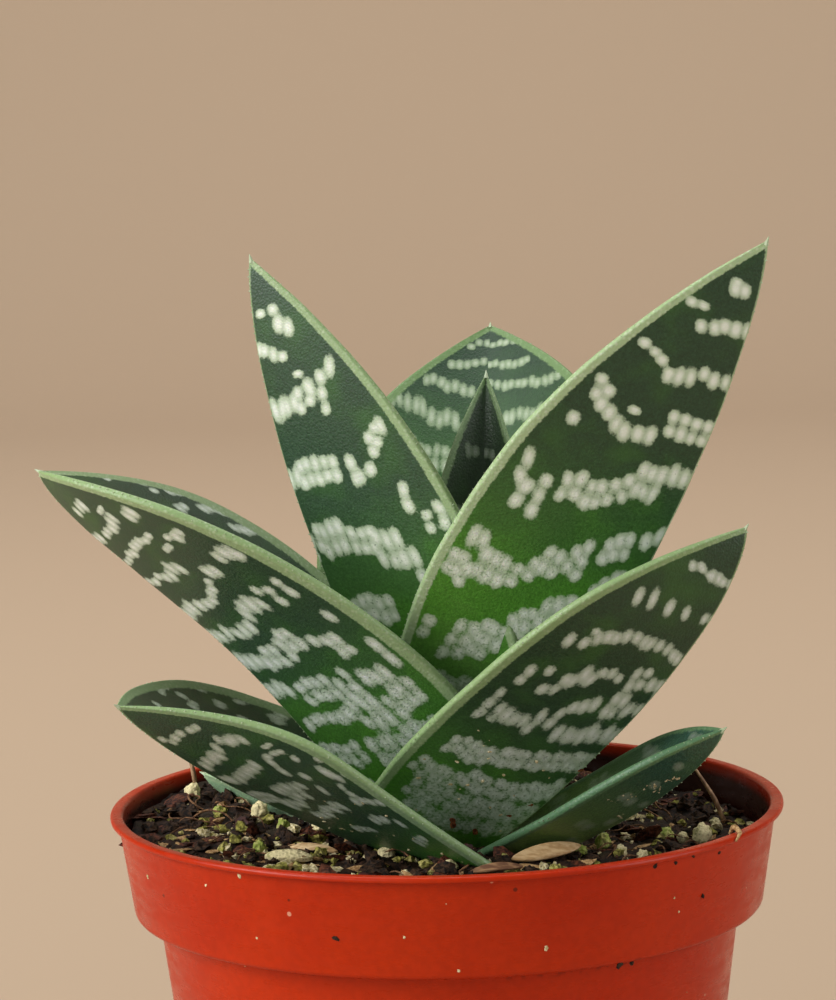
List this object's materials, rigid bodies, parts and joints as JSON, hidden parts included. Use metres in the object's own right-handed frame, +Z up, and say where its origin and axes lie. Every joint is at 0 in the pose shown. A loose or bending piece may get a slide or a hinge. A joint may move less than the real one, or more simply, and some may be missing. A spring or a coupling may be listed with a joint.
{
  "type": "potted tiger aloe",
  "caption": "Spotted tiger aloe with folded, pale-edged leaves in three ranks, growing in potting mix in a round orange-red plastic nursery pot.",
  "frame": {"origin": "centre of the pot's flat underside, where it stands", "axes": "+Z up along the pot's axis, +X to the viewer's right and -Y towards the viewer of the picture"},
  "size_m": [0.1125, 0.118, 0.1744],
  "materials": {
    "pot": "satin",
    "leaf": "satin",
    "soil": "matte",
    "perlite": "matte",
    "bark": "matte",
    "wood": "matte",
    "root": "matte"
  },
  "bodies": {
    "root": {"pot": "pot", "soil": "soil", "stem_and_roots": "root", "leaf_left_oldest": "leaf", "leaf_right_low": "leaf", "leaf_back_low": "leaf", "leaf_left_low": "leaf", "leaf_right_middle": "leaf", "leaf_back_middle": "leaf", "leaf_left_middle": "leaf", "leaf_right_tall": "leaf", "leaf_back_tall": "leaf", "leaf_left_tall": "leaf", "leaf_right_young": "leaf", "leaf_back_young": "leaf", "leaf_centre_spear": "leaf", "perlite_01": "perlite", "perlite_02": "perlite", "perlite_03": "perlite", "perlite_04": "perlite", "perlite_05": "perlite", "perlite_06": "perlite", "perlite_07": "perlite", "perlite_08": "perlite", "perlite_09": "perlite", "perlite_10": "perlite", "perlite_11": "perlite", "perlite_12": "perlite", "perlite_13": "perlite", "perlite_14": "perlite", "perlite_15": "perlite", "perlite_16": "perlite", "bark_crumb_01": "bark", "bark_crumb_02": "bark", "bark_crumb_03": "bark", "bark_crumb_04": "bark", "bark_crumb_05": "bark", "bark_crumb_06": "bark", "bark_curl_front": "bark", "wood_chip_front": "wood", "wood_chip_left": "wood", "wood_splinter_left": "wood", "twig_right": "wood", "dry_stalk_left": "wood"}
  },
  "joints": []
}
